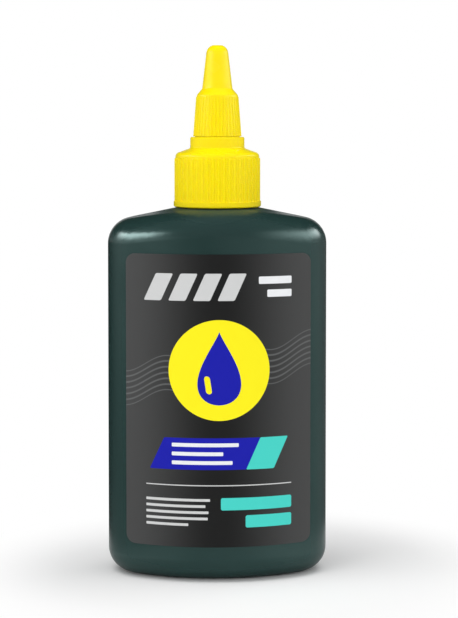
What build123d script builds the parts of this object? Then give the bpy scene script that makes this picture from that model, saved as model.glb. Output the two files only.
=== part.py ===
from build123d import *
import os
from math import atan2, cos, degrees, radians, tan

# Oval bottle body, in millimetres
BODY_WIDTH = 57.7
BODY_DEPTH = 34.0
END_RADIUS = 12.2
BODY_WALL = 1.0
SHOULDER_HEIGHT = 96.75
SHOULDER_SLOPE = 11.75
RIM_RADIUS = 7.0
FOOT_RADIUS = 6.2
FOOT_RING_WIDTH = 2.6
PUSH_UP_HEIGHT = 1.5
PUSH_UP_SLOPE = 45.0

# Bottle neck
NECK_DIAMETER = 17.5
NECK_BORE = 14.3
NECK_HEIGHT = 11.45
NECK_FILLET = 0.8
LIP_CHAMFER = 0.3
THREAD_DEPTH = 1.1

# Front label film
LABEL_WIDTH = 48.0
LABEL_HEIGHT = 75.6
LABEL_BOTTOM = 9.4
LABEL_CORNER = 2.4
FILM_THICKNESS = 0.1
ADHESIVE_THICKNESS = 0.03

# Sealing ring between the neck's lip and the closure's deck
RING_THICKNESS = 0.8
RING_CLEARANCE = 0.2

# Closure skirt and flange
THREAD_CLEARANCE = 0.25
SKIRT_WALL = 0.97
SKIRT_RIBS = 48
SKIRT_RIB_HEIGHT = 0.25
SKIRT_RIB_BASE = 0.85
SKIRT_RIB_CREST = 0.4
SKIRT_EDGE_RADIUS = 1.2
FLANGE_HEIGHT = 1.55
FLANGE_OVERHANG = 0.22
FLANGE_EDGE_CHAMFER = 0.25
SHOULDER_GAP = 0.2
BORE_LEAD = 0.6

# Closure deck and collar
DECK_THICKNESS = 2.0
DECK_EDGE = 1.55
FLARE_RISE = 1.4
FLARE_FILLET = 0.6
COLLAR_DIAMETER = 14.3
COLLAR_HEIGHT = 2.95
COLLAR_WALL = 1.0
COLLAR_EDGE_CHAMFER = 0.25

# Hollow stem inside the collar, with the pin that plugs the nozzle
STEM_DIAMETER = 8.8
STEM_BORE = 6.0
STEM_BEAD = 0.25
STEM_BEAD_HEIGHT = 0.8
STEM_TOP_DIAMETER = 7.8
STEM_ROOF = 1.2
WINDOWS = 3
WINDOW_WIDTH = 2.4
WINDOW_HEIGHT = 2.6
WINDOW_SILL = 0.3
PIN_ROOT_DIAMETER = 3.4
PIN_CLEARANCE = 0.1
PIN_RECESS = 0.1
PIN_EDGE_CHAMFER = 0.25

# Nozzle: spigot in the collar, ribbed grip, smooth tip
NOZZLE_LIFT = 3.2
STOP_CLEARANCE = 0.1
COLLAR_CLEARANCE = 0.25
STEM_CLEARANCE = 0.15
WELL_CLEARANCE = 0.4
SEAT_GAP = 0.15
NOZZLE_BEAD_HEIGHT = 1.0
GRIP_BASE_DIAMETER = 12.75
GRIP_TOP_DIAMETER = 11.2
GRIP_HEIGHT = 10.9
GRIP_RIBS = 40
GRIP_RIB_HEIGHT = 0.2
GRIP_RIB_BASE = 0.62
GRIP_RIB_CREST = 0.3
GRIP_EDGE_RADIUS = 0.6
STEP_HEIGHT = 1.65
STEP_FILLET = 0.9
TIP_BASE_DIAMETER = 8.0
TIP_END_DIAMETER = 5.3
TIP_HEIGHT = 11.5
TIP_ROUND = 2.4
ORIFICE_DIAMETER = 2.6
ORIFICE_LENGTH = 1.8
PASSAGE_BASE_DIAMETER = 5.2
PASSAGE_END_DIAMETER = 3.8
CHAMBER_HEADROOM = 1.6
CHAMBER_TAPER_HEIGHT = 3.4

# Radii shared by pieces that fit together
half_width = BODY_WIDTH / 2
half_depth = BODY_DEPTH / 2
end_centre = half_width - END_RADIUS
face_radius = (end_centre**2 + half_depth**2 - END_RADIUS**2) / (2 * (half_depth - END_RADIUS))
face_centre = half_depth - face_radius
neck_radius = NECK_DIAMETER / 2
neck_bore_radius = NECK_BORE / 2
skirt_bore_radius = neck_radius + THREAD_DEPTH + THREAD_CLEARANCE
skirt_root_radius = skirt_bore_radius + SKIRT_WALL
skirt_radius = skirt_root_radius + SKIRT_RIB_HEIGHT
flange_radius = skirt_radius + FLANGE_OVERHANG
collar_radius = COLLAR_DIAMETER / 2
collar_bore_radius = collar_radius - COLLAR_WALL
stem_radius = STEM_DIAMETER / 2
stem_bore_radius = STEM_BORE / 2
stem_bead_radius = stem_radius + STEM_BEAD
stem_top_radius = STEM_TOP_DIAMETER / 2
spigot_radius = collar_bore_radius - COLLAR_CLEARANCE
nozzle_bore_radius = stem_bead_radius + STEM_CLEARANCE
nozzle_bead_radius = stem_radius + STEM_CLEARANCE
orifice_radius = ORIFICE_DIAMETER / 2
pin_radius = orifice_radius - PIN_CLEARANCE

# Heights, from the foot upwards
slope = tan(radians(SHOULDER_SLOPE))
lead_radius = skirt_bore_radius + BORE_LEAD
closure_bottom = SHOULDER_HEIGHT - (lead_radius - neck_radius) * slope + SHOULDER_GAP
flange_top = closure_bottom + FLANGE_HEIGHT
rib_bottom = flange_top - FLANGE_HEIGHT / 2
neck_top = SHOULDER_HEIGHT + NECK_HEIGHT
deck_bottom = neck_top + RING_THICKNESS
skirt_top = deck_bottom + DECK_EDGE
rib_top = skirt_top - SKIRT_EDGE_RADIUS
collar_foot = skirt_top + FLARE_RISE
collar_top = collar_foot + COLLAR_HEIGHT
well_floor = deck_bottom + DECK_THICKNESS
spigot_bottom = well_floor + WELL_CLEARANCE
nozzle_bead_top = spigot_bottom + NOZZLE_BEAD_HEIGHT
stem_bead_bottom = nozzle_bead_top + NOZZLE_LIFT + STOP_CLEARANCE
stem_bead_top = stem_bead_bottom + STEM_BEAD_HEIGHT
window_bottom = stem_bead_top + WINDOW_SILL
window_top = window_bottom + WINDOW_HEIGHT
stem_top = window_top + STEM_ROOF
nozzle_seat = collar_top + SEAT_GAP
grip_top = nozzle_seat + GRIP_HEIGHT
tip_base = grip_top + STEP_HEIGHT
tip_top = tip_base + TIP_HEIGHT
chamber_top = stem_top + CHAMBER_HEADROOM
passage_base = chamber_top + CHAMBER_TAPER_HEIGHT
orifice_bottom = tip_top - ORIFICE_LENGTH
passage_top = orifice_bottom - (PASSAGE_END_DIAMETER - ORIFICE_DIAMETER) / 2
pin_top = tip_top - PIN_RECESS


def oval(inset):
    """Oval of two broad arcs and two end arcs, this far inside the body's outline."""
    face_spread = degrees(atan2(end_centre, -face_centre))
    end_spread = 90 - face_spread
    with BuildSketch() as outline:
        with BuildLine():
            CenterArc((0, face_centre), face_radius - inset, end_spread, 2 * face_spread)
            CenterArc((-end_centre, 0), END_RADIUS - inset, 90 + face_spread, 2 * end_spread)
            CenterArc((0, -face_centre), face_radius - inset, 180 + end_spread, 2 * face_spread)
            CenterArc((end_centre, 0), END_RADIUS - inset, 270 + face_spread, 2 * end_spread)
        make_face()
    return outline.sketch


def body_form(inset):
    """Oval body under a conical shoulder, rounded at rim and foot, this far inside the outer skin."""
    shoulder_top = SHOULDER_HEIGHT - inset / cos(radians(SHOULDER_SLOPE))
    shoulder_edge = shoulder_top - (half_width - neck_radius) * slope
    with BuildPart() as body:
        with BuildSketch(Plane.XY.offset(inset)):
            add(oval(inset))
        extrude(amount=shoulder_top)
        with BuildSketch(Plane.XZ):
            with BuildLine():
                Polyline(
                    (0, 0),
                    (half_width, 0),
                    (half_width, shoulder_edge),
                    (neck_radius, shoulder_top),
                    (0, shoulder_top),
                    close=True,
                )
            make_face()
        revolve(axis=Axis.Z, mode=Mode.INTERSECT)
        shoulder = body.faces().filter_by(GeomType.CONE)
        rim = shoulder.edges().filter_by(GeomType.LINE, reverse=True).sort_by(Axis.Z)[:-1]
        fillet(rim, min(RIM_RADIUS, 0.8 * END_RADIUS) - inset)
        foot = body.faces().sort_by(Axis.Z)[0].edges()
        fillet(foot, min(FOOT_RADIUS, 0.8 * END_RADIUS) - inset)
    return body.part


def push_up(inset, height):
    """Raised middle of the base, a low tapered step inside the foot ring."""
    with BuildPart() as step:
        with BuildSketch(Plane.XY.offset(height)):
            add(oval(inset))
        extrude(amount=PUSH_UP_HEIGHT, taper=PUSH_UP_SLOPE)
    return step.part


def rib_outline(height, base, crest):
    """Tapered rib that stands along +X on the origin and is sunk a little below it."""
    sunk = base / 4
    with BuildSketch() as outline:
        Polygon(
            (-sunk, -base / 2),
            (0, -base / 2),
            (height, -crest / 2),
            (height, crest / 2),
            (0, base / 2),
            (-sunk, base / 2),
            align=None,
        )
    return outline.sketch


def corner(profile, point):
    """The profile's corner nearest to a point."""
    return profile.vertices().sort_by_distance(point)[0]


# Hollow inside the bottle
with BuildPart() as cavity:
    add(body_form(BODY_WALL))
    floor_inset = FOOT_RADIUS + FOOT_RING_WIDTH - BODY_WALL * tan(radians(PUSH_UP_SLOPE / 2))
    add(push_up(floor_inset, BODY_WALL), mode=Mode.SUBTRACT)
    with BuildSketch(Plane.XY.offset(SHOULDER_HEIGHT - NECK_HEIGHT)):
        Circle(neck_bore_radius)
    extrude(amount=2 * NECK_HEIGHT)

# Blow-moulded bottle: one wall, push-up base, neck
with BuildPart() as bottle:
    add(body_form(0))
    add(push_up(FOOT_RADIUS + FOOT_RING_WIDTH, 0), mode=Mode.SUBTRACT)
    with BuildSketch(Plane.XY.offset(SHOULDER_HEIGHT)):
        Circle(neck_radius)
    extrude(amount=NECK_HEIGHT)
    neck_root = bottle.edges().filter_by(GeomType.CIRCLE).filter_by_position(
        Axis.Z, SHOULDER_HEIGHT - NECK_FILLET / 2, SHOULDER_HEIGHT + NECK_FILLET / 2
    )
    fillet(neck_root, NECK_FILLET)
    add(cavity.part, mode=Mode.SUBTRACT)
    lip = bottle.faces().sort_by(Axis.Z)[-1]
    chamfer(lip.edges(), LIP_CHAMFER)
bottle.part.label = "bottle"

# Printed film on the bottle's front
with BuildPart() as front_label:
    with BuildSketch(Plane.XY.offset(LABEL_BOTTOM)):
        add(oval(-ADHESIVE_THICKNESS - FILM_THICKNESS))
        add(oval(-ADHESIVE_THICKNESS), mode=Mode.SUBTRACT)
    extrude(amount=LABEL_HEIGHT)
    with BuildSketch(Plane.XZ):
        with Locations((0, LABEL_BOTTOM + LABEL_HEIGHT / 2)):
            RectangleRounded(LABEL_WIDTH, LABEL_HEIGHT, LABEL_CORNER)
    extrude(amount=BODY_DEPTH, mode=Mode.INTERSECT)
front_label.part.label = "front_label"

# Washer that the closure presses on the neck's lip
with BuildPart() as sealing_ring:
    with BuildSketch(Plane.XY.offset(neck_top)):
        Circle(skirt_bore_radius - RING_CLEARANCE)
        Circle(neck_bore_radius, mode=Mode.SUBTRACT)
    extrude(amount=RING_THICKNESS)
sealing_ring.part.label = "sealing_ring"

# One rib of the closure's skirt, standing on the flange and rounded off at its top
with BuildPart() as skirt_rib:
    with BuildSketch(Plane((skirt_root_radius, 0, rib_bottom))):
        add(rib_outline(SKIRT_RIB_HEIGHT, SKIRT_RIB_BASE, SKIRT_RIB_CREST))
    extrude(amount=rib_top - rib_bottom)
    with BuildSketch(Plane.XZ) as rib_side:
        with Locations((0, rib_bottom)):
            Rectangle(skirt_radius, rib_top - rib_bottom, align=Align.MIN)
        fillet(corner(rib_side, (skirt_radius, rib_top)), SKIRT_RIB_HEIGHT)
    extrude(amount=SKIRT_RIB_BASE, both=True, mode=Mode.INTERSECT)

# Screw closure: ribbed skirt, flared deck, collar, hollow stem and plug pin in one moulding
with BuildPart() as closure:
    with BuildSketch(Plane.XZ) as shell_profile:
        with BuildLine():
            Polyline(
                (stem_bore_radius, deck_bottom),
                (skirt_bore_radius, deck_bottom),
                (skirt_bore_radius, closure_bottom),
                (flange_radius, closure_bottom),
                (flange_radius, flange_top),
                (skirt_root_radius, flange_top),
                (skirt_root_radius, skirt_top),
                (collar_radius, collar_foot),
                (collar_radius, collar_top),
                (collar_bore_radius, collar_top),
                (collar_bore_radius, well_floor),
                (stem_bore_radius, well_floor),
                close=True,
            )
        make_face()
        fillet(corner(shell_profile, (skirt_root_radius, skirt_top)), SKIRT_EDGE_RADIUS)
        fillet(corner(shell_profile, (collar_radius, collar_foot)), FLARE_FILLET)
        chamfer(corner(shell_profile, (collar_radius, collar_top)), COLLAR_EDGE_CHAMFER)
        chamfer(corner(shell_profile, (skirt_bore_radius, closure_bottom)), BORE_LEAD)
        chamfer(corner(shell_profile, (flange_radius, closure_bottom)), FLANGE_EDGE_CHAMFER)
        chamfer(corner(shell_profile, (flange_radius, flange_top)), FLANGE_OVERHANG / 2)
    revolve(axis=Axis.Z)
    with PolarLocations(0, SKIRT_RIBS):
        add(skirt_rib.part)
    with BuildSketch(Plane.XZ) as stem_profile:
        with BuildLine():
            Polyline(
                (0, stem_top),
                (0, window_top),
                (stem_bore_radius, window_top),
                (stem_bore_radius, deck_bottom),
                (stem_radius, deck_bottom),
                (stem_radius, stem_bead_bottom),
                (stem_bead_radius, stem_bead_bottom),
                (stem_bead_radius, stem_bead_bottom + STEM_BEAD_HEIGHT / 2),
                (stem_top_radius, stem_bead_top),
                (stem_top_radius, stem_top),
                close=True,
            )
        make_face()
    revolve(axis=Axis.Z)
    with BuildSketch(Plane.XY.offset(window_bottom)):
        with PolarLocations(stem_radius / 2, WINDOWS):
            Rectangle(stem_radius, WINDOW_WIDTH)
    extrude(amount=WINDOW_HEIGHT, mode=Mode.SUBTRACT)
    with BuildSketch(Plane.XZ):
        with BuildLine():
            Polyline(
                (0, stem_top),
                (PIN_ROOT_DIAMETER / 2, stem_top),
                (pin_radius, orifice_bottom),
                (pin_radius, pin_top - PIN_EDGE_CHAMFER),
                (pin_radius - PIN_EDGE_CHAMFER, pin_top),
                (0, pin_top),
                close=True,
            )
        make_face()
    revolve(axis=Axis.Z)
closure.part.label = "closure"

# One rib of the nozzle's grip, leaning inwards with the cone and sloped off at its top
grip_rib_outline = rib_outline(GRIP_RIB_HEIGHT, GRIP_RIB_BASE, GRIP_RIB_CREST)
grip_root_base = GRIP_BASE_DIAMETER / 2 - GRIP_RIB_HEIGHT
grip_root_top = GRIP_TOP_DIAMETER / 2 - GRIP_RIB_HEIGHT
with BuildPart() as grip_rib:
    with BuildSketch(Plane((grip_root_base, 0, nozzle_seat))):
        add(grip_rib_outline)
    with BuildSketch(Plane((grip_root_top, 0, grip_top))):
        add(grip_rib_outline)
    loft(ruled=True)
    with BuildSketch(Plane.XZ):
        with BuildLine():
            Polyline(
                (0, nozzle_seat),
                (GRIP_BASE_DIAMETER / 2, nozzle_seat),
                (GRIP_TOP_DIAMETER / 2, grip_top - GRIP_EDGE_RADIUS),
                (grip_root_top - GRIP_RIB_HEIGHT, grip_top),
                (0, grip_top),
                close=True,
            )
        make_face()
    extrude(amount=GRIP_RIB_BASE, both=True, mode=Mode.INTERSECT)

# Nozzle that lifts off the plug pin: ribbed grip and smooth tip in one moulding
with BuildPart() as nozzle:
    with BuildSketch(Plane.XZ) as core_profile:
        with BuildLine():
            Polyline(
                (0, spigot_bottom),
                (spigot_radius, spigot_bottom),
                (spigot_radius, nozzle_seat),
                (grip_root_base, nozzle_seat),
                (grip_root_top, grip_top),
                (TIP_BASE_DIAMETER / 2, tip_base),
                (TIP_END_DIAMETER / 2, tip_top),
                (0, tip_top),
                close=True,
            )
        make_face()
        fillet(corner(core_profile, (grip_root_top, grip_top)), GRIP_EDGE_RADIUS)
        fillet(corner(core_profile, (TIP_BASE_DIAMETER / 2, tip_base)), STEP_FILLET)
        fillet(corner(core_profile, (TIP_END_DIAMETER / 2, tip_top)), TIP_ROUND)
    revolve(axis=Axis.Z)
    with PolarLocations(0, GRIP_RIBS):
        add(grip_rib.part)
    with BuildSketch(Plane.XZ):
        with BuildLine():
            Polyline(
                (0, spigot_bottom),
                (nozzle_bead_radius, spigot_bottom),
                (nozzle_bead_radius, nozzle_bead_top),
                (nozzle_bore_radius, nozzle_bead_top),
                (nozzle_bore_radius, chamber_top),
                (PASSAGE_BASE_DIAMETER / 2, passage_base),
                (PASSAGE_END_DIAMETER / 2, passage_top),
                (orifice_radius, orifice_bottom),
                (orifice_radius, tip_top),
                (0, tip_top),
                close=True,
            )
        make_face()
    revolve(axis=Axis.Z, mode=Mode.SUBTRACT)
nozzle.part.label = "nozzle"

os.makedirs("parts", exist_ok=True)
for piece in (bottle, front_label, sealing_ring, closure, nozzle):
    export_step(piece.part, f"parts/{piece.part.label}.step")
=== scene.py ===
"""Finish and studio setting of an oval squeeze bottle with a twist-open dispensing nozzle.

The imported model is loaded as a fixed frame. Each sub-assembly below dresses its own nodes and adds the
moulded detail that belongs to it: screw threads, mould parting lines and the pinch line of the base.
Lengths are in metres unless a name or a docstring says millimetres.
"""

import logging
import math
from collections.abc import Mapping, Sequence
from dataclasses import dataclass, field
from enum import Enum
from functools import cache, partial, reduce

import bpy
from bpy.types import Material, Node, NodeSocket as Socket, NodeTree, Object
from mathutils import Color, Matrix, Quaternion, Vector


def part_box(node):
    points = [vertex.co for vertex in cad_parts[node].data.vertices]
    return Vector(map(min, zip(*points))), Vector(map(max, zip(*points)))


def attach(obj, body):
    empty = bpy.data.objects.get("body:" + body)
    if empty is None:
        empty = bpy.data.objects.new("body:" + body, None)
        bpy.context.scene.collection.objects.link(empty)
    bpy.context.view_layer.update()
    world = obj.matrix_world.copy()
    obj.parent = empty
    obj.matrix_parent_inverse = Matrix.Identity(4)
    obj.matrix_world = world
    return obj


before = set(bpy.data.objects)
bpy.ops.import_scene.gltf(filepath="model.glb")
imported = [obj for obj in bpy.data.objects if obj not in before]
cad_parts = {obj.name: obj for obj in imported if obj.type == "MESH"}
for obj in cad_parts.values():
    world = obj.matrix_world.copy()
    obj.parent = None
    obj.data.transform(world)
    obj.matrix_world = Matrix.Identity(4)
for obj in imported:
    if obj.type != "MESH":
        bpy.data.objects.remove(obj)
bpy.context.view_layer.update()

log = logging.getLogger("bottle")

Pair = tuple[float, float]
Colour = tuple[float, float, float, float]
Value = Socket | float | Sequence[float]
Inputs = Mapping[int | str, Value]

MM = 0.001
WHITE_LIGHT: Colour = (1.0, 1.0, 1.0, 1.0)


def linear(red: int, green: int, blue: int) -> Colour:
    """Turn a display colour, with channels from 0 to 255, into the linear colour that shaders use."""
    channels = Color((red / 255, green / 255, blue / 255)).from_srgb_to_scene_linear()
    return *channels, 1.0


class Ink(Enum):
    """Inks of the label's print."""

    YELLOW = linear(249, 236, 21)
    BLUE = linear(18, 22, 168)
    TEAL = linear(70, 208, 196)
    PALE_GREY = linear(203, 204, 204)
    WHITE = linear(232, 234, 236)
    LINE_GREY = linear(112, 114, 114)


class Side(Enum):
    """The two narrow sides of the bottle, by the turn that takes the right one there."""

    RIGHT = 0.0
    LEFT = math.pi


class Aligned(Enum):
    """Which ends of printed bars are in line, by the way the bars run from there."""

    LEFT = 1.0
    RIGHT = -1.0


class Crease(Enum):
    """Edges that turn more than this, in radians, stay sharp on smooth and on ribbed pieces."""

    SMOOTH = math.radians(40)
    RIBBED = math.radians(35)


@dataclass(frozen=True)
class Fade:
    """A smooth change from one value to another.

    Attributes:
        span: Where the change starts and where it has ended.
        values: The value before it and the value after it.
    """

    span: Pair
    values: Pair = (0.0, 1.0)


@dataclass
class Graph:
    """Short calls that add and join the nodes of one node tree.

    Attributes:
        tree: The node tree that is drawn.
    """

    tree: NodeTree

    def fill(self, node: Node, inputs: Inputs) -> None:
        """Join a node's inputs to other nodes, or set their constants.

        Args:
            node: The node.
            inputs: An output socket, a number, a vector or a colour, by each input's number or name.
        """
        for key, value in inputs.items():
            if isinstance(value, Socket):
                self.tree.links.new(value, node.inputs[key])
            else:
                node.inputs[key].default_value = value

    def add(self, kind: str, inputs: Inputs | None = None, **options: object) -> Node:
        """Add a node.

        Args:
            kind: The node's type.
            inputs: What its inputs get, where they don't stay as they are.
            options: The node's own settings by name.

        Returns:
            The new node.
        """
        node = self.tree.nodes.new(kind)
        for name, value in options.items():
            setattr(node, name, value)
        self.fill(node, inputs or {})
        return node

    def math(self, operation: str, *values: Socket | float) -> Socket:
        """Work out a number by an operation of the Math node, with its inputs in order."""
        return self.add("ShaderNodeMath", dict(enumerate(values)), operation=operation).outputs[0]

    def product(self, first: Socket, *others: Socket | float) -> Socket:
        """Multiply numbers."""
        return reduce(partial(self.math, "MULTIPLY"), others, first)

    def ramp(self, value: Socket, fade: Fade) -> Socket:
        """Read a fade at a place along its span."""
        inputs = dict(enumerate((value, *fade.span, *fade.values)))
        return self.add("ShaderNodeMapRange", inputs, interpolation_type="SMOOTHSTEP").outputs[0]

    def mix(self, share: Socket, first: Socket | float, second: Socket | float) -> Socket:
        """Mix two numbers by the share of the second one."""
        return self.add("ShaderNodeMix", {0: share, 2: first, 3: second}).outputs[0]

    def lay(self, mask: Socket, under: Socket | Colour, over: Socket | Colour) -> Socket:
        """Lay one colour over another, where the mask says how much of the upper one shows."""
        return self.add("ShaderNodeMix", {0: mask, 6: under, 7: over}, data_type="RGBA").outputs[2]

    def axes(self, place: Socket) -> list[Socket]:
        """The three coordinates of a place or a direction."""
        return list(self.add("ShaderNodeSeparateXYZ", {0: place}).outputs)

    def metres(self) -> Socket:
        """Place on the object."""
        return self.add("ShaderNodeTexCoord").outputs["Object"]

    def millimetres(self) -> Socket:
        """Place on the piece, in millimetres of the shared frame."""
        inputs = {0: self.metres(), "Scale": 1 / MM}
        return self.add("ShaderNodeVectorMath", inputs, operation="SCALE").outputs[0]

    def noise(self, place: Socket, size: Socket | float, detail: float) -> Socket:
        """Even noise about 0.5, with blotches of a size in millimetres and octaves of finer detail."""
        inputs = {"Vector": place, "Scale": self.math("DIVIDE", 1.0, size), "Detail": detail}
        return self.add("ShaderNodeTexNoise", inputs).outputs[0]

    def emboss(self, shader: Node, height: Socket, relief: float) -> None:
        """Give a shader an uneven skin, with its height in units of relief."""
        bump = self.add("ShaderNodeBump", {"Height": height, "Distance": relief})
        self.fill(shader, {"Normal": bump.outputs[0]})

    def group(self, tree: NodeTree, **values: Socket | float) -> Node:
        """Place a node group, with its inputs named by underscores for spaces."""
        inputs = {name.replace("_", " "): value for name, value in values.items()}
        return self.add("ShaderNodeGroup", inputs, node_tree=tree)

    def seen(self, path: Node) -> Socket:
        """Where a Light Path node says that the camera looks, straight or through something clear."""
        return self.math("MAXIMUM", path.outputs["Is Camera Ray"], path.outputs["Is Transmission Ray"])


@dataclass
class GroupDraft:
    """A node group while it is drawn.

    Attributes:
        name: The group's name.
        inputs: Names of its number inputs, after the place.
        outputs: Names of its number outputs.
        graph: Its graph.
        given: Its inputs by name.
        end: The node that takes its results.
    """

    name: str
    inputs: tuple[str, ...]
    outputs: tuple[str, ...]
    graph: Graph = field(init=False)
    given: dict[str, Socket] = field(init=False)
    end: Node = field(init=False)

    def __post_init__(self) -> None:
        """Make the tree with its sockets."""
        tree = bpy.data.node_groups.new(self.name, "ShaderNodeTree")
        tree.interface.new_socket("Place", in_out="INPUT", socket_type="NodeSocketVector")
        for name in self.inputs:
            tree.interface.new_socket(name, in_out="INPUT", socket_type="NodeSocketFloat")
        for name in self.outputs:
            tree.interface.new_socket(name, in_out="OUTPUT", socket_type="NodeSocketFloat")
        self.graph = Graph(tree)
        self.given = {s.name: s for s in self.graph.add("NodeGroupInput").outputs if s.name}
        self.end = self.graph.add("NodeGroupOutput")


class Effects:
    """Node groups that finishes place with their own values, each built when it is first asked for."""

    soft_edge: Fade = Fade((0.5, -0.5))

    @staticmethod
    @cache
    def moulded() -> NodeTree:
        """Skin of a plastic moulding: fine grain over slow waves, with a blotch mask.

        Returns:
            The group.
        """
        draft = GroupDraft("moulded_skin", ("Grain Size", "Wave Size", "Wave Share"), ("Height", "Blotch"))
        g, given = draft.graph, draft.given
        grain = g.noise(given["Place"], given["Grain Size"], detail=3.0)
        wave = g.noise(given["Place"], given["Wave Size"], detail=1.0)
        height = g.math("ADD", grain, g.product(wave, given["Wave Share"]))
        g.fill(draft.end, {"Height": height, "Blotch": g.ramp(wave, Fade((0.3, 0.7)))})
        return g.tree

    @staticmethod
    @cache
    def patch() -> NodeTree:
        """A printed rectangle with round corners, which may slant.

        Returns:
            The group.
        """
        names = ("Centre X", "Centre Z", "Half Width", "Half Height", "Corner", "Slant", "Edge")
        draft = GroupDraft("printed_patch", names, ("Mask",))
        g, given = draft.graph, draft.given
        x, _, z = g.axes(given["Place"])
        rise = g.math("SUBTRACT", z, given["Centre Z"])
        lean = g.product(rise, given["Slant"])
        across = g.math("SUBTRACT", g.math("SUBTRACT", x, given["Centre X"]), lean)
        outside = []
        for offset, half in ((across, given["Half Width"]), (rise, given["Half Height"])):
            reach = g.math("SUBTRACT", half, given["Corner"])
            outside.append(g.math("SUBTRACT", g.math("ABSOLUTE", offset), reach))
        beyond = [g.math("MAXIMUM", value, 0.0) for value in outside]
        corner_gap = g.math("SQRT", g.math("ADD", *(g.product(value, value) for value in beyond)))
        inside = g.math("MINIMUM", g.math("MAXIMUM", *outside), 0.0)
        distance = g.math("SUBTRACT", g.math("ADD", corner_gap, inside), given["Corner"])
        g.fill(draft.end, {"Mask": g.ramp(g.math("DIVIDE", distance, given["Edge"]), Effects.soft_edge)})
        return g.tree

    @staticmethod
    @cache
    def drop() -> NodeTree:
        """A printed drop of liquid with its point upwards.

        Its half width grows with a power of the height and shrinks with a power of what is left above.

        Returns:
            The group.
        """
        draft = GroupDraft("printed_drop", ("Centre X", "Foot Z", "Height", "Width", "Edge"), ("Mask",))
        g, given = draft.graph, draft.given
        growth, shrinkage = 0.5, 1.25
        fullest = growth / (growth + shrinkage)
        widest = fullest ** growth * (1 - fullest) ** shrinkage
        x, _, z = g.axes(given["Place"])
        share = g.math("DIVIDE", g.math("SUBTRACT", z, given["Foot Z"]), given["Height"])
        kept = g.math("MINIMUM", g.math("MAXIMUM", share, 0.0), 1.0)
        grown = g.math("POWER", kept, growth)
        shrunk = g.math("POWER", g.math("SUBTRACT", 1.0, kept), shrinkage)
        half = g.product(grown, shrunk, g.math("DIVIDE", given["Width"], 2 * widest))
        gap = g.math("SUBTRACT", g.math("ABSOLUTE", g.math("SUBTRACT", x, given["Centre X"])), half)
        level = g.product(g.math("GREATER_THAN", share, 0.0), g.math("LESS_THAN", share, 1.0))
        flank = g.ramp(g.math("DIVIDE", gap, given["Edge"]), Effects.soft_edge)
        g.fill(draft.end, {"Mask": g.product(flank, level)})
        return g.tree

    @staticmethod
    @cache
    def waves() -> NodeTree:
        """A band of thin printed wave lines that runs across the label.

        Returns:
            The group.
        """
        names = ("Middle Z", "Half Band", "Rise", "Swing", "Length", "Spacing", "Line")
        draft = GroupDraft("printed_waves", names, ("Mask",))
        g, given = draft.graph, draft.given
        line_edge, band_edge = Fade((0.75, 0.25)), Fade((1.0, 0.97))
        x, _, z = g.axes(given["Place"])
        turn = g.product(x, g.math("DIVIDE", math.tau, given["Length"]))
        swing = g.product(g.math("SINE", turn), given["Swing"])
        climb = g.math("ADD", swing, g.product(x, given["Rise"]))
        offset = g.math("SUBTRACT", z, g.math("ADD", given["Middle Z"], climb))
        nearest = g.math("PINGPONG", offset, g.product(given["Spacing"], 0.5))
        line = g.ramp(g.math("DIVIDE", nearest, given["Line"]), line_edge)
        band = g.ramp(g.math("DIVIDE", g.math("ABSOLUTE", offset), given["Half Band"]), band_edge)
        g.fill(draft.end, {"Mask": g.product(line, band)})
        return g.tree


@dataclass(frozen=True)
class Finish:
    """What every finish has: a name and a started material.

    Attributes:
        name: The material's name.
    """

    name: str

    def start(self) -> tuple[Material, Graph, Node]:
        """Make the material with its shader.

        Returns:
            The material, its graph and its Principled shader.
        """
        material = bpy.data.materials.new(self.name)
        material.use_nodes = True
        return material, Graph(material.node_tree), material.node_tree.nodes["Principled BSDF"]


@dataclass(frozen=True)
class ScuffRing:
    """A ring that a turning edge has rubbed dull, round the bottle's axis, in millimetres.

    Attributes:
        radii: Where it is still dullest and where the dullness has ended.
        levels: Heights where it starts and where it is dullest.
        roughness: Roughness where it is dullest.
    """

    radii: Pair
    levels: Pair
    roughness: float

    def wear(self, graph: Graph, place: Socket, roughness: Socket) -> Socket:
        """Dull a roughness inside the ring.

        Args:
            graph: The material's graph.
            place: Place in millimetres.
            roughness: Roughness without the ring.

        Returns:
            Roughness with the ring.
        """
        x, y, z = graph.axes(place)
        radius = graph.math("SQRT", graph.math("ADD", graph.product(x, x), graph.product(y, y)))
        near = graph.ramp(radius, Fade(self.radii, (1.0, 0.0)))
        mask = graph.product(near, graph.ramp(z, Fade(self.levels)))
        return graph.mix(mask, roughness, self.roughness)


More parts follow.
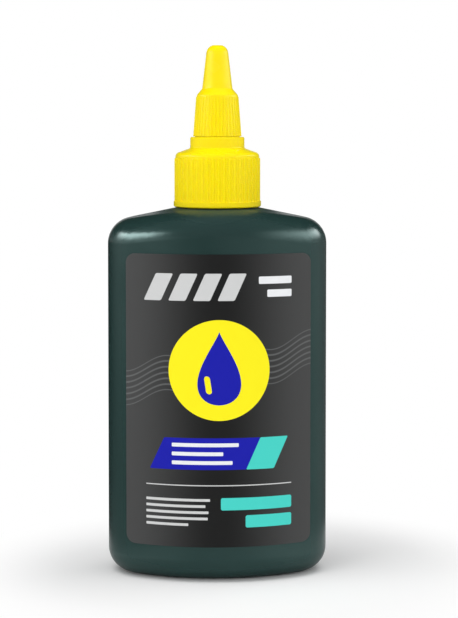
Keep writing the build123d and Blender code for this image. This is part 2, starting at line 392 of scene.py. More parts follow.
@dataclass(frozen=True)
class MouldedPlastic(Finish):
    """A moulded plastic with fine grain and slow waves in its skin.

    Attributes:
        colour: Its colour.
        shade: Its colour in the blotches of slightly thinner pigment.
        roughness: Roughness of the polished and of the dull places.
        specular: Strength of the mirror reflection, where 0.5 is plain plastic.
        grain_size: Width of the grain in millimetres.
        wave_size: Width of the waves in millimetres.
        wave_share: Height of the waves against the grain.
        tint: Colour of the mirror reflection.
        relief: Height of the grain.
        glow: Share of the light that spreads inside, or 0 where it is opaque.
        glow_depth: How far light spreads inside.
        glow_reach: Shares of that depth for red, green and blue.
        scuff: Where something has rubbed it dull, if it has.
    """

    colour: Colour
    shade: Colour
    roughness: Pair
    specular: float
    grain_size: float
    wave_size: float
    wave_share: float
    tint: Colour = WHITE_LIGHT
    relief: float = 1.5e-6
    glow: float = 0.0
    glow_depth: float = 0.8 * MM
    glow_reach: tuple[float, float, float] = (1.0, 0.7, 0.15)
    scuff: ScuffRing | None = None

    def material(self) -> Material:
        """Draw the material.

        Returns:
            The material.
        """
        material, g, shader = self.start()
        place = g.millimetres()
        skin = g.group(Effects.moulded(), Place=place, Grain_Size=self.grain_size, Wave_Size=self.wave_size,
                       Wave_Share=self.wave_share)
        blotch = skin.outputs["Blotch"]
        roughness = g.ramp(blotch, Fade((0.0, 1.0), self.roughness))
        if self.scuff:
            roughness = self.scuff.wear(g, place, roughness)
        g.fill(shader, {"Base Color": g.lay(blotch, self.colour, self.shade), "Roughness": roughness,
                        "Specular IOR Level": self.specular, "Specular Tint": self.tint})
        g.emboss(shader, skin.outputs["Height"], self.relief)
        if self.glow:
            g.fill(shader, {"Subsurface Weight": self.glow, "Subsurface Radius": self.glow_reach,
                            "Subsurface Scale": self.glow_depth})
        return material


@dataclass(frozen=True)
class FoamedSeal(Finish):
    """Soft closed-cell foam of the sealing washer, with painted shade in the sunken middle of each cell.

    Attributes:
        colour: Its colour.
        painted_cell_shade: Share of that colour in a cell's sunken middle, where shade is painted.
        roughness: Its roughness.
        cell_size: Width of its cells in millimetres.
        cell_wall: Where a cell's painted shade goes over into its wall, from its middle outwards.
        relief: Depth of the cells.
    """

    colour: Colour = linear(226, 226, 220)
    painted_cell_shade: float = 0.86
    roughness: float = 0.8
    cell_size: float = 0.22
    cell_wall: Fade = Fade((0.0, 0.6))
    relief: float = 2.5e-5

    def material(self) -> Material:
        """Draw the material.

        Returns:
            The material.
        """
        material, g, shader = self.start()
        cells = g.add("ShaderNodeTexVoronoi", {"Vector": g.millimetres(), "Scale": 1 / self.cell_size})
        from_middle = cells.outputs["Distance"]
        # Painted shade: each cell's colour darkens towards its middle, which the bump also sinks.
        painted_cell_shade = (*(self.painted_cell_shade * value for value in self.colour[:3]), 1.0)
        colour = g.lay(g.ramp(from_middle, self.cell_wall), painted_cell_shade, self.colour)
        g.fill(shader, {"Base Color": colour, "Roughness": self.roughness})
        g.emboss(shader, from_middle, self.relief)
        return material


@dataclass(frozen=True)
class Patch:
    """One printed rectangle with round corners, in millimetres of the shared frame.

    Attributes:
        ink: Its ink.
        centre: Its middle, across and up.
        half: Half its width and half its height.
        corner: Radius of its corners.
        slant: How far it leans to the right for each millimetre up.
    """

    ink: Ink
    centre: Pair
    half: Pair
    corner: float = 0.3
    slant: float = 0.0

    def mask(self, graph: Graph, place: Socket, edge: float) -> Socket:
        """Where the patch is printed.

        Args:
            graph: The label's graph.
            place: Place in millimetres.
            edge: Softness of its edge in millimetres.

        Returns:
            The mask.
        """
        (x, z), (half_width, half_height) = self.centre, self.half
        node = graph.group(Effects.patch(), Place=place, Centre_X=x, Centre_Z=z, Half_Width=half_width,
                           Half_Height=half_height, Corner=self.corner, Slant=self.slant, Edge=edge)
        return node.outputs["Mask"]


@dataclass(frozen=True)
class BarStack:
    """Printed bars under each other with one end in line, in millimetres of the shared frame.

    Attributes:
        ink: Their ink.
        aligned: Which ends are in line.
        end: Where those ends are, across.
        top: Height of the uppermost bar's middle.
        pitch: Distance from bar to bar.
        half_lengths: Half the length of each bar, from the top.
        half_height: Half the height of a bar.
        corner: Radius of the corners.
    """

    ink: Ink
    aligned: Aligned
    end: float
    top: float
    pitch: float
    half_lengths: tuple[float, ...]
    half_height: float
    corner: float

    def patches(self) -> list[Patch]:
        """The bars as patches.

        Returns:
            The patches, from the top.
        """
        found = []
        for row, half_length in enumerate(self.half_lengths):
            centre = (self.end + self.aligned.value * half_length, self.top - row * self.pitch)
            found.append(Patch(self.ink, centre, (half_length, self.half_height), self.corner))
        return found


@dataclass(frozen=True)
class PrintedFilm(Finish):
    """Dark grey label film with painted sheen towards its sides and a plain generic print of fields and
    bars, in millimetres.

    Attributes:
        middle_grey: The film's own grey at its middle.
        painted_sheen_grey: Lighter grey towards its two sides: painted sheen of the side lamps over the
            film's grey.
        sheen_span: Distances from the middle where the painted sheen starts and ends its change.
        roughness: Roughness of the film and of the inks.
        specular: Strength of the mirror reflection.
        ripple: Width of the film's faint ripples.
        relief: Height of the ripples, in metres.
        edge: Softness of the print's edges.
        margin: Half the width that the print takes up.
        slant: Slant of the header's bars and of the band.
        header_height: Height of the header's middle.
        disc_height: Height of the disc's middle.
        disc_radius: Radius of the disc.
        drop_foot: How far the drop's foot lies below the disc's middle.
        drop_size: Width and height of the drop.
        line_strength: Strength of the wave lines' ink.
        band_height: Height of the band's middle.
        divider_height: Height of the dividing line.
    """

    middle_grey: Colour = (0.014, 0.0142, 0.0142, 1.0)
    painted_sheen_grey: Colour = (0.062, 0.063, 0.063, 1.0)
    sheen_span: Pair = (1.0, 24.5)
    roughness: Pair = (0.45, 0.5)
    specular: float = 0.15
    ripple: float = 1.6
    relief: float = 4e-6
    edge: float = 0.09
    margin: float = 18.8
    slant: float = 0.45
    header_height: float = 76.6
    disc_height: float = 55.2
    disc_radius: float = 13.0
    drop_foot: float = 9.0
    drop_size: Pair = (11.2756, 19.0)
    line_strength: float = 0.55
    band_height: float = 33.6
    divider_height: float = 25.4

    def layers(self) -> list[Patch]:
        """The patches of the print: disc, header, band, dividing line and stacks of bars.

        Returns:
            The patches, from the lowest to the uppermost.
        """
        found = [Patch(Ink.YELLOW, (0.0, self.disc_height), (self.disc_radius,) * 2, self.disc_radius)]
        bars, first_bar, bar_pitch, bar_half, bar_corner = 4, -15.6, 6.3, (2.2, 3.5), 0.4
        for place in range(bars):
            centre = (first_bar + place * bar_pitch, self.header_height)
            found.append(Patch(Ink.PALE_GREY, centre, bar_half, bar_corner, self.slant))
        band_middle, band_half, end_half, half_height = -3.6, 12.4, 3.6, 4.1
        end_middle = band_middle + band_half + end_half
        for ink, middle, half in ((Ink.BLUE, band_middle, band_half), (Ink.TEAL, end_middle, end_half)):
            found.append(Patch(ink, (middle, self.band_height), (half, half_height), slant=self.slant))
        line_half, line_corner = (self.margin, 0.13), 0.1
        found.append(Patch(Ink.PALE_GREY, (0.0, self.divider_height), line_half, line_corner))
        stacks = (
            BarStack(Ink.WHITE, Aligned.RIGHT, self.margin, top=self.header_height + 1.7, pitch=3.4,
                     half_lengths=(4.3, 3.2), half_height=0.95, corner=0.3),
            BarStack(Ink.WHITE, Aligned.LEFT, -12.2, top=self.band_height + 2.3, pitch=2.3,
                     half_lengths=(8.6, 6.6, 7.8), half_height=0.48, corner=0.2),
            BarStack(Ink.PALE_GREY, Aligned.LEFT, -self.margin, top=self.divider_height - 3.8, pitch=1.6,
                     half_lengths=(8.2, 7.6, 8.0, 7.9, 5.4), half_height=0.34, corner=0.15),
            BarStack(Ink.TEAL, Aligned.RIGHT, self.margin, top=self.divider_height - 4.8, pitch=4.6,
                     half_lengths=(9.2, 6.0), half_height=1.6, corner=0.5),
        )
        for stack in stacks:
            found += stack.patches()
        return found

    def material(self) -> Material:
        """Draw the material.

        Returns:
            The material.
        """
        material, g, shader = self.start()
        place = g.millimetres()
        x, _, _ = g.axes(place)
        # Painted sheen: the film's grey lightens towards both curved sides, as if the side lamps glanced
        # off it.
        side = g.ramp(g.math("ABSOLUTE", x), Fade(self.sheen_span))
        colour = g.lay(side, self.middle_grey, self.painted_sheen_grey)
        waves = g.group(Effects.waves(), Place=place, Middle_Z=self.disc_height, Half_Band=4.6, Rise=0.16,
                        Swing=1.5, Length=19.0, Spacing=1.5, Line=0.42)
        inked = waves.outputs["Mask"]
        colour = g.lay(g.product(inked, self.line_strength), colour, Ink.LINE_GREY.value)
        for patch in self.layers():
            mask = patch.mask(g, place, self.edge)
            colour = g.lay(mask, colour, patch.ink.value)
            inked = g.math("MAXIMUM", inked, mask)
        width, height = self.drop_size
        drop = g.group(Effects.drop(), Place=place, Centre_X=0.0, Foot_Z=self.disc_height - self.drop_foot,
                       Height=height, Width=width, Edge=self.edge)
        colour = g.lay(drop.outputs["Mask"], colour, Ink.BLUE.value)
        glint = Patch(Ink.YELLOW, (-2.9, self.disc_height - 3.8), (0.75, 2.3), corner=0.75, slant=-0.15)
        colour = g.lay(glint.mask(g, place, self.edge), colour, glint.ink.value)
        roughness = g.ramp(inked, Fade((0.0, 1.0), self.roughness))
        g.fill(shader, {"Base Color": colour, "Roughness": roughness, "Specular IOR Level": self.specular})
        g.emboss(shader, g.noise(place, self.ripple, detail=3.0), self.relief)
        return material


class Workbench:
    """Steps that several sub-assemblies use to model and dress their pieces."""

    merge_distance: float = 1e-6

    @staticmethod
    def clear_selection() -> None:
        """Leave edit mode and deselect everything."""
        if bpy.context.object and bpy.context.object.mode != "OBJECT":
            bpy.ops.object.mode_set(mode="OBJECT")
        bpy.ops.object.select_all(action="DESELECT")

    @staticmethod
    def pick(piece: Object) -> None:
        """Make a piece the only selected and the active one.

        Args:
            piece: The piece.
        """
        Workbench.clear_selection()
        piece.select_set(True)
        bpy.context.view_layer.objects.active = piece

    @staticmethod
    def settle(piece: Object) -> None:
        """Put a piece's place into its mesh, so that its object sits at the origin."""
        Workbench.pick(piece)
        bpy.ops.object.transform_apply(location=True, rotation=True, scale=True)

    @staticmethod
    def mount(piece: Object, body: str, slot: str, material: Material) -> None:
        """Dress a new piece and let it ride on its body.

        Args:
            piece: The finished piece.
            body: The body that carries it.
            slot: The record's material slot; not used.
            material: Its finish.
        """
        piece.data.materials.clear()
        piece.data.materials.append(material)
        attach(piece, body)
        log.info("%s rides on %s", piece.name, body)

    @staticmethod
    def dress(node: str, material: Material, crease: Crease) -> None:
        """Give a CAD node its finish and even shading, with its solid as it is.

        Args:
            node: The node's name.
            material: Its finish.
            crease: Which of its edges stay sharp.
        """
        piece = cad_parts[node]
        piece.data.materials.clear()
        piece.data.materials.append(material)
        weld = piece.modifiers.new("join_faces", "WELD")
        weld.merge_threshold = Workbench.merge_distance
        split = piece.modifiers.new("sharp_edges", "EDGE_SPLIT")
        split.split_angle = crease.value
        piece.modifiers.new("even_shading", "WEIGHTED_NORMAL")
        log.info("%s dressed", node)


@dataclass(frozen=True)
class ScrewThread:
    """One ridge of a screw thread, round the bottle's axis.

    Attributes:
        name: The piece's name.
        root_radius: Radius where the ridge meets its wall.
        crest_radius: Radius of its crest, inside the root for a closure's thread.
        root_width: Width at the wall.
        crest_width: Width at the crest.
        turns: Turns from end to end.
        start: Height of the ridge's middle where it starts.
        pitch: Rise in one turn, the same on the neck and in the closure.
        steps_per_turn: Sections in one turn.
        fade_turn: Share of a turn in which each end runs out.
        sunk: How deep the ridge's root sits in its wall.
    """

    name: str
    root_radius: float
    crest_radius: float
    root_width: float
    crest_width: float
    turns: float
    start: float
    pitch: float = 3.175 * MM
    steps_per_turn: int = 72
    fade_turn: float = 0.12
    sunk: float = 0.08 * MM

    def build(self) -> Object:
        """Model the ridge from a plane that is screwed round the axis.

        Returns:
            The ridge.
        """
        Workbench.clear_selection()
        bpy.ops.mesh.primitive_plane_add(size=1.0)
        ridge = bpy.context.object
        ridge.name = self.name
        outward = math.copysign(1.0, self.crest_radius - self.root_radius)
        root = self.root_radius - outward * self.sunk
        corners = ((root, -self.root_width), (root, self.root_width),
                   (self.crest_radius, -self.crest_width), (self.crest_radius, self.crest_width))
        for vertex, (radius, width) in zip(ridge.data.vertices, corners):
            vertex.co = (radius, 0.0, self.start + width / 2)
        screw = ridge.modifiers.new("screw", "SCREW")
        screw.angle = math.tau * self.turns
        screw.screw_offset = self.pitch * self.turns
        steps = round(self.steps_per_turn * self.turns)
        screw.steps = screw.render_steps = steps
        screw.use_smooth_shade = True
        Workbench.pick(ridge)
        bpy.ops.object.modifier_apply(modifier="screw")
        self._fade_ends(ridge, steps)
        bpy.ops.object.mode_set(mode="EDIT")
        bpy.ops.mesh.select_all(action="SELECT")
        bpy.ops.mesh.fill_holes(sides=len(corners))
        bpy.ops.mesh.select_all(action="SELECT")
        bpy.ops.mesh.normals_make_consistent(inside=False)
        bpy.ops.object.mode_set(mode="OBJECT")
        bpy.ops.object.shade_smooth_by_angle(angle=Crease.RIBBED.value)
        return ridge

    def _fade_ends(self, ridge: Object, steps: int) -> None:
        """Run the ridge's ends out into its wall.

        Args:
            ridge: The screwed ridge.
            steps: How many sections follow the first one.
        """
        fade_steps = self.fade_turn * self.steps_per_turn
        rise_per_radian = self.pitch / math.tau
        for vertex in ridge.data.vertices:
            turn = math.atan2(vertex.co.y, vertex.co.x)
            level = vertex.co.z - self.start
            whole = round((level / rise_per_radian - turn) / math.tau)
            section = (turn / math.tau + whole) * self.steps_per_turn
            share = min(1.0, max(0.0, min(section, steps - section) / fade_steps))
            ease = share * share * (3 - 2 * share)
            radius = math.hypot(vertex.co.x, vertex.co.y)
            faded = self.root_radius + (radius - self.root_radius) * ease
            vertex.co.x *= faded / radius
            vertex.co.y *= faded / radius


@dataclass(frozen=True)
class PartingLine:
    """Thin witness line where the two mould halves met, up one narrow side of the bottle.

    Attributes:
        half_width: Half the body's width.
        neck_radius: Radius of the neck.
        foot_radius: Rounding of the foot.
        rim_radius: Rounding of the rim.
        slope: Slope of the shoulder, in radians.
        shoulder_height: Height of the shoulder at the neck.
        neck_fillet: Rounding between shoulder and neck.
        bead_radius: Radius of the line's round section.
        proud: How far it stands out of the wall.
        foot_start: Where on the foot's rounding it starts, in radians from the level.
        arc_steps: Steps of each rounding.
    """

    half_width: float
    neck_radius: float
    foot_radius: float = 6.2 * MM
    rim_radius: float = 7.0 * MM
    slope: float = math.radians(11.75)
    shoulder_height: float = 96.75 * MM
    neck_fillet: float = 0.8 * MM
    bead_radius: float = 0.16 * MM
    proud: float = 0.05 * MM
    foot_start: float = math.radians(-70)
    arc_steps: int = 16

    def path(self) -> list[Vector]:
        """Points of the line on the right-hand side, from the foot up to the neck.

        Returns:
            The points.
        """
        inset = self.bead_radius - self.proud
        foot = Vector((self.half_width - self.foot_radius, 0.0, self.foot_radius))
        edge_height = self.shoulder_height - (self.half_width - self.neck_radius) * math.tan(self.slope)
        rim_turn = math.pi / 2 - self.slope
        tangent = self.rim_radius * math.tan(rim_turn / 2)
        rim = Vector((self.half_width - self.rim_radius, 0.0, edge_height - tangent))
        drop = self.neck_fillet * math.tan(self.slope) + inset / math.cos(self.slope)
        return [
            *self._arc(foot, self.foot_radius - inset, self.foot_start, 0.0),
            *self._arc(rim, self.rim_radius - inset, 0.0, rim_turn),
            Vector((self.neck_radius + self.neck_fillet, 0.0, self.shoulder_height - drop)),
        ]

    def _arc(self, centre: Vector, radius: float, start: float, end: float) -> list[Vector]:
        """Points of an arc in the plane of the bottle's sides, from one angle in radians to another."""
        angles = (start + (end - start) * step / self.arc_steps for step in range(self.arc_steps + 1))
        return [centre + Vector((math.cos(angle), 0.0, math.sin(angle))) * radius for angle in angles]

    def build(self, side: Side) -> Object:
        """Model the line on one side as a round bead.

        Args:
            side: The side it runs up.

        Returns:
            The line's mesh.
        """
        name = f"parting_line_{side.name.lower()}"
        curve = bpy.data.curves.new(name, "CURVE")
        curve.dimensions = "3D"
        curve.bevel_depth = self.bead_radius
        curve.bevel_resolution = 2
        curve.use_fill_caps = True
        points = self.path()
        spline = curve.splines.new("POLY")
        spline.points.add(len(points) - 1)
        for target, point in zip(spline.points, points):
            target.co = (*point, 1.0)
        line = bpy.data.objects.new(name, curve)
        bpy.context.scene.collection.objects.link(line)
        line.rotation_euler.z = side.value
        Workbench.pick(line)
        bpy.ops.object.convert(target="MESH")
        line = bpy.context.object
        Workbench.settle(line)
        bpy.ops.object.shade_smooth()
        return line


@dataclass
class Bottle:
    """The blow-moulded bottle with what its mould left on it.

    Attributes:
        finish: Its plastic.
        thread: The neck's right-hand thread.
        push_up: Height of the raised middle of the base.
        pinch_length: Length of the pinch line under the base.
        pinch_width: Width of the pinch line.
        pinch_height: How far the pinch line stands out of the base.
        pinch_round: Share of its width by which the pinch line's edges are rounded.
    """

    finish: MouldedPlastic
    thread: ScrewThread = ScrewThread("neck_thread", root_radius=8.75 * MM, crest_radius=9.85 * MM,
                                      root_width=1.5 * MM, crest_width=0.6 * MM, turns=1.5, start=99.6 * MM)
    push_up: float = 1.5 * MM
    pinch_length: float = 24.0 * MM
    pinch_width: float = 0.5 * MM
    pinch_height: float = 0.35 * MM
    pinch_round: float = 0.35

    def build(self) -> None:
        """Dress the bottle and add its thread, parting lines and pinch line."""
        material = self.finish.material()
        Workbench.dress("bottle", material, Crease.SMOOTH)
        for piece in (self.thread.build(), *self.parting_lines(), self.pinch_line()):
            Workbench.mount(piece, "bottle", "bottle_plastic", material)

    def parting_lines(self) -> list[Object]:
        """The two witness lines of the mould, on the right and on the left."""
        line = PartingLine(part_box("bottle")[1].x, self.thread.root_radius)
        return [line.build(side) for side in Side]

    def pinch_line(self) -> Object:
        """Raised line under the base where the mould pinched the tube shut.

        Returns:
            The line.
        """
        Workbench.clear_selection()
        bpy.ops.mesh.primitive_cube_add(size=1.0, location=(0.0, 0.0, self.push_up))
        line = bpy.context.object
        line.name = "base_pinch_line"
        line.scale = (self.pinch_length, self.pinch_width, 2 * self.pinch_height)
        Workbench.settle(line)
        bevel = line.modifiers.new("worn", "BEVEL")
        bevel.width = self.pinch_width * self.pinch_round
        bevel.segments = 3
        bpy.ops.object.modifier_apply(modifier="worn")
        bpy.ops.object.shade_smooth_by_angle(angle=Crease.SMOOTH.value)
        return line


@dataclass
class FrontLabel:
    """The printed film on the bottle's front.

    Attributes:
        finish: Its film and print.
    """

    finish: PrintedFilm

    def build(self) -> None:
        """Dress the label."""
        Workbench.dress("front_label", self.finish.material(), Crease.SMOOTH)


@dataclass
class Closure:
    """The screw closure, its thread, its washer and the nozzle that lifts on its stem.

    Attributes:
        finish: The plastic of closure and nozzle.
        seal: The washer's foam.
        thread: The inner thread, which starts half a pitch above the neck's.
    """

    finish: MouldedPlastic
    seal: FoamedSeal
    thread: ScrewThread = ScrewThread("closure_thread", root_radius=10.1 * MM, crest_radius=9.05 * MM,
                                      root_width=1.4 * MM, crest_width=0.5 * MM, turns=1.4,
                                      start=101.1875 * MM)

    def build(self) -> None:
        """Dress closure, nozzle and washer, and add the inner thread."""
        material = self.finish.material()
        for node in ("closure", "nozzle"):
            Workbench.dress(node, material, Crease.RIBBED)
        Workbench.dress("sealing_ring", self.seal.material(), Crease.SMOOTH)
        Workbench.mount(self.thread.build(), "closure", "closure_plastic", material)


def bare_material(name: str) -> tuple[Material, Graph, Node]:
    """Start a material for what stands round the bottle, with no shader yet.

    Args:
        name: The material's name.

    Returns:
        The material, its graph and the node that takes its shader.
    """
    material = bpy.data.materials.new(name)
    material.use_nodes = True
    nodes = material.node_tree.nodes
    nodes.remove(nodes["Principled BSDF"])
    return material, Graph(material.node_tree), nodes["Material Output"]


@dataclass(frozen=True)
class Softbox:
    """One rectangular studio lamp that faces the bottle.

    Attributes:
        name: Its name.
        azimuth: Where it stands round the bottle, in degrees to the right of the camera's side.
        elevation: How high it stands, in degrees.
        spread: How wide and how high it looks from the bottle, in degrees.
        radiance: How bright its face is, where white paper in plain light is 1.
        roll: Turn about its own axis, in degrees.
        distance: How far it is from the bottle.
        target: Where it faces.
    """

    name: str
    azimuth: float
    elevation: float
    spread: Pair
    radiance: float
    roll: float = 0.0
    distance: float = 0.9
    target: tuple[float, float, float] = (0.0, 0.0, 88 * MM)

    def size(self) -> Pair:
        """Width and height of its face."""
        width, height = (2 * self.distance * math.tan(math.radians(angle / 2)) for angle in self.spread)
        return width, height

    def place(self, holder: Object) -> None:
        """Stand an object in the lamp's place and turn it to the bottle.

        Args:
            holder: The object.
        """
        turn, rise = math.radians(self.azimuth), math.radians(self.elevation)
        out = Vector((math.sin(turn) * math.cos(rise), -math.cos(turn) * math.cos(rise), math.sin(rise)))
        facing = (-out).to_track_quat("-Z", "Y") @ Quaternion((0.0, 0.0, 1.0), math.radians(self.roll))
        holder.location = Vector(self.target) + out * self.distance
        holder.rotation_euler = facing.to_euler()
        holder.visible_camera = False

    def build(self) -> None:
        """Hang the lamp, which lights the matt surfaces only."""
        lamp = bpy.data.lights.new(self.name, "AREA")
        lamp.shape = "RECTANGLE"
        lamp.size, lamp.size_y = self.size()
        lamp.energy = self.radiance * math.pi * lamp.size * lamp.size_y
        holder = bpy.data.objects.new(self.name, lamp)
        bpy.context.scene.collection.objects.link(holder)
        self.place(holder)
        holder.visible_glossy = False


@dataclass(frozen=True)
class LitScreen(Softbox):
    """A lit diffuser screen that the glossy surfaces mirror, brighter in one part than in another.

    Places on it run from -0.5 at its left or lower edge to 0.5 at its right or upper edge.

    Attributes:
        across: Where its light starts and is full, sideways.
        beyond: Where its light has ended and is full, further to the side than across says.
        upward: Where its light starts and is full, upwards.
        top: Where its light starts to fall off again and has ended, further up.
    """

    across: Pair = (-0.6, -0.5)
    beyond: Pair = (-0.6, -0.5)
    upward: Pair = (-0.6, -0.5)
    top: Pair = (0.5, 0.6)

    def build(self) -> None:
        """Stand the screen, which shows in mirror reflections only."""
        Workbench.clear_selection()
        bpy.ops.mesh.primitive_plane_add(size=1.0)
        screen = bpy.context.object
        screen.name = self.name
        screen.scale = (*self.size(), 1.0)
        self.place(screen)
        screen.visible_diffuse = screen.visible_transmission = screen.visible_shadow = False
        screen.data.materials.append(self.glow())

    def glow(self) -> Material:
        """Draw the screen's light, which is clear where it isn't lit.

        Returns:
            The material.
        """
        material, g, output = bare_material(self.name)
        x, y, _ = g.axes(g.metres())
        sideways = g.product(g.ramp(x, Fade(self.across)), g.ramp(x, Fade(self.beyond)))
        upright = g.product(g.ramp(y, Fade(self.upward)), g.ramp(y, Fade(self.top, (1.0, 0.0))))
        light = g.add("ShaderNodeEmission", {"Strength": g.product(sideways, upright, self.radiance)})
        clear = g.add("ShaderNodeBsdfTransparent")
        both = g.add("ShaderNodeAddShader", {0: light.outputs[0], 1: clear.outputs[0]})
        g.fill(output, {"Surface": both.outputs[0]})
        return material


@dataclass(frozen=True)
class Floor:
    """White paper under the bottle, which keeps its shadow and fades to plain white round it.

    Attributes:
        radius: Radius of the paper.
        corners: Corners of its outline.
        white: How much light it throws back.
        middle: How far to the right of the bottle's axis the shaded paper's middle lies.
        shaded: Where the shaded paper fades to plain white, by the distance from that middle.
        mirrored_near: Light it throws back where the bottle mirrors it close by, by the distance aside.
        mirrored_far: The same further away, from left to right.
        mirrored_rim: What is added to that, by the distance aside.
        behind: Where a place counts as behind the bottle, by the share of depth in its distance.
        mirrored_behind: Share of the light from further away that is left behind, from left to right.
    """

    radius: float = 4.0
    corners: int = 96
    white: float = 0.96
    middle: float = 8.0 * MM
    shaded: Fade = Fade((0.046, 0.08))
    mirrored_near: Fade = Fade((0.01, 0.045), (0.27, 0.62))
    mirrored_far: Fade = Fade((-0.2, 0.2), (0.12, 0.34))
    mirrored_rim: Fade = Fade((0.3, 0.9), (0.0, 0.28))
    behind: Fade = Fade((0.1, 0.8))
    mirrored_behind: Fade = Fade((-0.1, 0.1), (0.12, 0.45))

    def build(self) -> None:
        """Lay the paper."""
        Workbench.clear_selection()
        bpy.ops.mesh.primitive_circle_add(vertices=self.corners, radius=self.radius, fill_type="TRIFAN")
        floor = bpy.context.object
        floor.name = "floor"
        floor.data.materials.append(self.paper())

    def paper(self) -> Material:
        """Draw the paper: lit near the bottle, plain white to the camera further away, dim when mirrored.

        Returns:
            The material.
        """
        material, g, output = bare_material("floor_paper")
        place = g.metres()
        moved = g.add("ShaderNodeVectorMath", {0: place, 1: (self.middle, 0.0, 0.0)}, operation="SUBTRACT")
        length = g.add("ShaderNodeVectorMath", {0: moved.outputs[0]}, operation="LENGTH")
        distance = length.outputs["Value"]
        far = g.ramp(distance, self.shaded)
        x, y, _ = g.axes(place)
        aside = g.math("ABSOLUTE", x)
        away = g.math("ADD", g.ramp(x, self.mirrored_far), g.ramp(aside, self.mirrored_rim))
        behind = g.ramp(g.math("DIVIDE", y, distance), self.behind)
        kept = g.mix(behind, 1.0, g.ramp(x, self.mirrored_behind))
        mirrored = g.mix(far, g.ramp(aside, self.mirrored_near), g.product(away, kept))
        path = g.add("ShaderNodeLightPath")
        share = g.mix(path.outputs["Is Glossy Ray"], self.white, mirrored)
        lit = g.add("ShaderNodeBsdfDiffuse", {"Color": share})
        plain = g.add("ShaderNodeEmission")
        shaders = {0: g.product(far, g.seen(path)), 1: lit.outputs[0], 2: plain.outputs[0]}
        g.fill(output, {"Surface": g.add("ShaderNodeMixShader", shaders).outputs[0]})
        return material


@dataclass(frozen=True)
class Surroundings:
    """The studio all round: white to the camera, soft to the light and dim where it is mirrored.

    A direction is given by its parts from -1 to 1: from left to right, from the camera's side to the back,
    and upwards.

    Attributes:
        ambient: Soft light, from the camera's side to the back.
        ambient_top: Share of the soft light that is left upwards.
        backdrop: Brightness of the mirrored backdrop, upwards.
        backdrop_depth: Where the backdrop starts and is full, towards the back.
        beside: Where the mirrored sides start and are full, to the left and to the right.
        sides: Brightness of the mirrored sides, from left to right.
        sides_level: Share of that which is left upwards.
        sides_depth: Share of that which is left towards the back.
        dim: Brightness of what else is mirrored, from the camera's side to the back.
    """

    ambient: Fade = Fade((-0.8, 0.8), (1.39, 0.4))
    ambient_top: Fade = Fade((0.4, 0.9), (1.0, 0.25))
    backdrop: Fade = Fade((0.19, 0.32), (0.5, 0.0))
    backdrop_depth: Fade = Fade((0.9, 0.99))
    beside: Fade = Fade((0.35, 0.8))
    sides: Fade = Fade((-0.3, 0.3), (0.85, 0.6))
    sides_level: Fade = Fade((0.0, 0.36), (1.0, 0.0))
    sides_depth: Fade = Fade((0.1, 0.6), (1.0, 0.35))
    dim: Fade = Fade((-0.3, 0.3), (0.15, 0.015))

    def build(self) -> None:
        """Draw the world."""
        world = bpy.data.worlds.new("studio")
        world.use_nodes = True
        bpy.context.scene.world = world
        g = Graph(world.node_tree)
        x, y, z = g.axes(g.add("ShaderNodeTexCoord").outputs["Generated"])
        soft = g.product(g.ramp(y, self.ambient), g.ramp(z, self.ambient_top))
        backdrop = g.product(g.ramp(z, self.backdrop), g.ramp(y, self.backdrop_depth))
        beside = g.ramp(g.math("ABSOLUTE", x), self.beside)
        sides = g.product(beside, g.ramp(x, self.sides), g.ramp(z, self.sides_level),
                          g.ramp(y, self.sides_depth))
        mirrored = g.math("MAXIMUM", backdrop, g.math("ADD", sides, g.ramp(y, self.dim)))
        path = g.add("ShaderNodeLightPath")
        unseen = g.mix(path.outputs["Is Glossy Ray"], soft, mirrored)
        strength = g.math("MAXIMUM", unseen, g.seen(path))
        g.fill(world.node_tree.nodes["Background"], {"Strength": strength, "Color": WHITE_LIGHT})


@dataclass(frozen=True)
class Viewpoint:
    """The camera, where the picture was taken from.

    Attributes:
        image: Width and height of the picture in pixels.
        focal: Focal length in pixels.
        sensor: Width of the sensor in millimetres.
        nearest: Distance from which things show.
        distance: Distance of the camera from the bottle's axis.
        height: Height of the camera.
        azimuth: Where the camera stands round the bottle, in degrees.
        aim: Where the camera looks, beside the axis and up.
        shift: Vertical shift of the lens against the picture's height.
    """

    image: tuple[int, int] = (458, 618)
    focal: float = 1874.0
    sensor: float = 36.0
    nearest: float = 0.01
    distance: float = 494.8 * MM
    height: float = 119.5 * MM
    azimuth: float = -1.65
    aim: Pair = (3.08 * MM, 93.8 * MM)
    shift: float = -0.1492

    def build(self) -> None:
        """Stand the camera and make it the scene's own."""
        lens = bpy.data.cameras.new("camera")
        lens.sensor_width = self.sensor
        lens.lens = self.focal / max(self.image) * self.sensor
        lens.shift_y = self.shift
        lens.clip_start = self.nearest
        camera = bpy.data.objects.new("camera", lens)
        bpy.context.scene.collection.objects.link(camera)
        turn = math.radians(self.azimuth)
        eye = Vector((math.sin(turn) * self.distance, -math.cos(turn) * self.distance, self.height))
        right = Vector((math.cos(turn), math.sin(turn), 0.0))
        goal = right * self.aim[0] + Vector((0.0, 0.0, self.aim[1]))
        camera.location = eye
        camera.rotation_euler = (goal - eye).to_track_quat("-Z", "Y").to_euler()
        bpy.context.scene.camera = camera


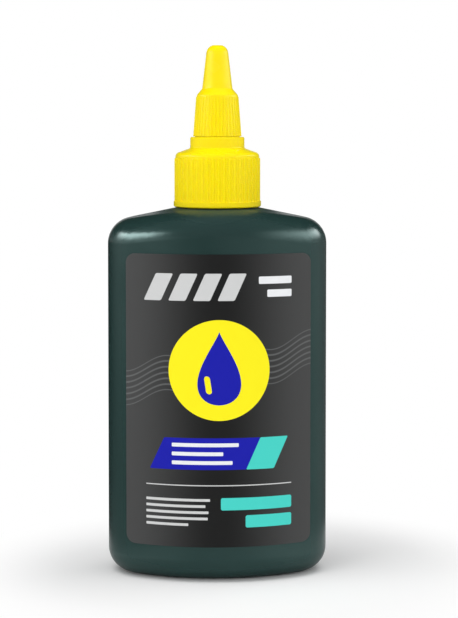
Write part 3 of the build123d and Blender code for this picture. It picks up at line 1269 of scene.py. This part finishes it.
@dataclass(frozen=True)
class Studio:
    """Pale floor, white surroundings, soft lamps and the camera.

    Attributes:
        floor: The floor.
        surroundings: The studio all round.
        lamps: The softboxes and screens.
        viewpoint: The camera.
    """

    floor: Floor = Floor()
    surroundings: Surroundings = Surroundings()
    lamps: tuple[Softbox, ...] = (
        Softbox("left_key", -60.0, 68.0, (32.0, 32.0), 3.7),
        Softbox("right_key", 97.0, 68.0, (34.0, 34.0), 2.6),
        LitScreen("left_screen", -77.0, 15.0, (88.0, 32.0), 8.6, distance=1.0,
                  across=(0.4, 0.1), beyond=(-0.46, -0.16), upward=(-0.245, 0.4)),
        LitScreen("right_screen", 74.0, 21.0, (94.0, 39.0), 4.9, roll=7.0, distance=0.35,
                  across=(-0.45, 0.38), upward=(-0.45, 0.04), top=(0.11, 0.47)),
    )
    viewpoint: Viewpoint = Viewpoint()

    def build(self) -> None:
        """Set up floor, surroundings, lamps and camera, with plain colours in the picture."""
        for part in (self.floor, self.surroundings, *self.lamps, self.viewpoint):
            part.build()
        bpy.context.scene.view_settings.view_transform = "Standard"


def main() -> None:
    """Build the sub-assemblies in order, then the studio."""
    logging.basicConfig(level=logging.INFO, format="%(name)s: %(message)s")
    polyethylene = MouldedPlastic(
        "bottle_polyethylene", colour=(0.0125, 0.0340, 0.0312, 1.0), shade=(0.0135, 0.0365, 0.0335, 1.0),
        roughness=(0.18, 0.22), specular=0.9, tint=(0.72, 1.0, 0.97, 1.0), grain_size=0.45, wave_size=16.0,
        wave_share=6.0, scuff=ScuffRing(radii=(11.5, 18.5), levels=(84.0, 96.5), roughness=0.55))
    polypropylene = MouldedPlastic(
        "closure_polypropylene", colour=(0.945, 0.762, 0.0025, 1.0), shade=(0.925, 0.742, 0.0025, 1.0),
        roughness=(0.22, 0.28), specular=0.18, grain_size=0.35, wave_size=9.0, wave_share=2.0, glow=0.25)
    Bottle(polyethylene).build()
    FrontLabel(PrintedFilm("label_print")).build()
    Closure(polypropylene, FoamedSeal("seal_foam")).build()
    Studio().build()


if __name__ == "__main__":
    main()
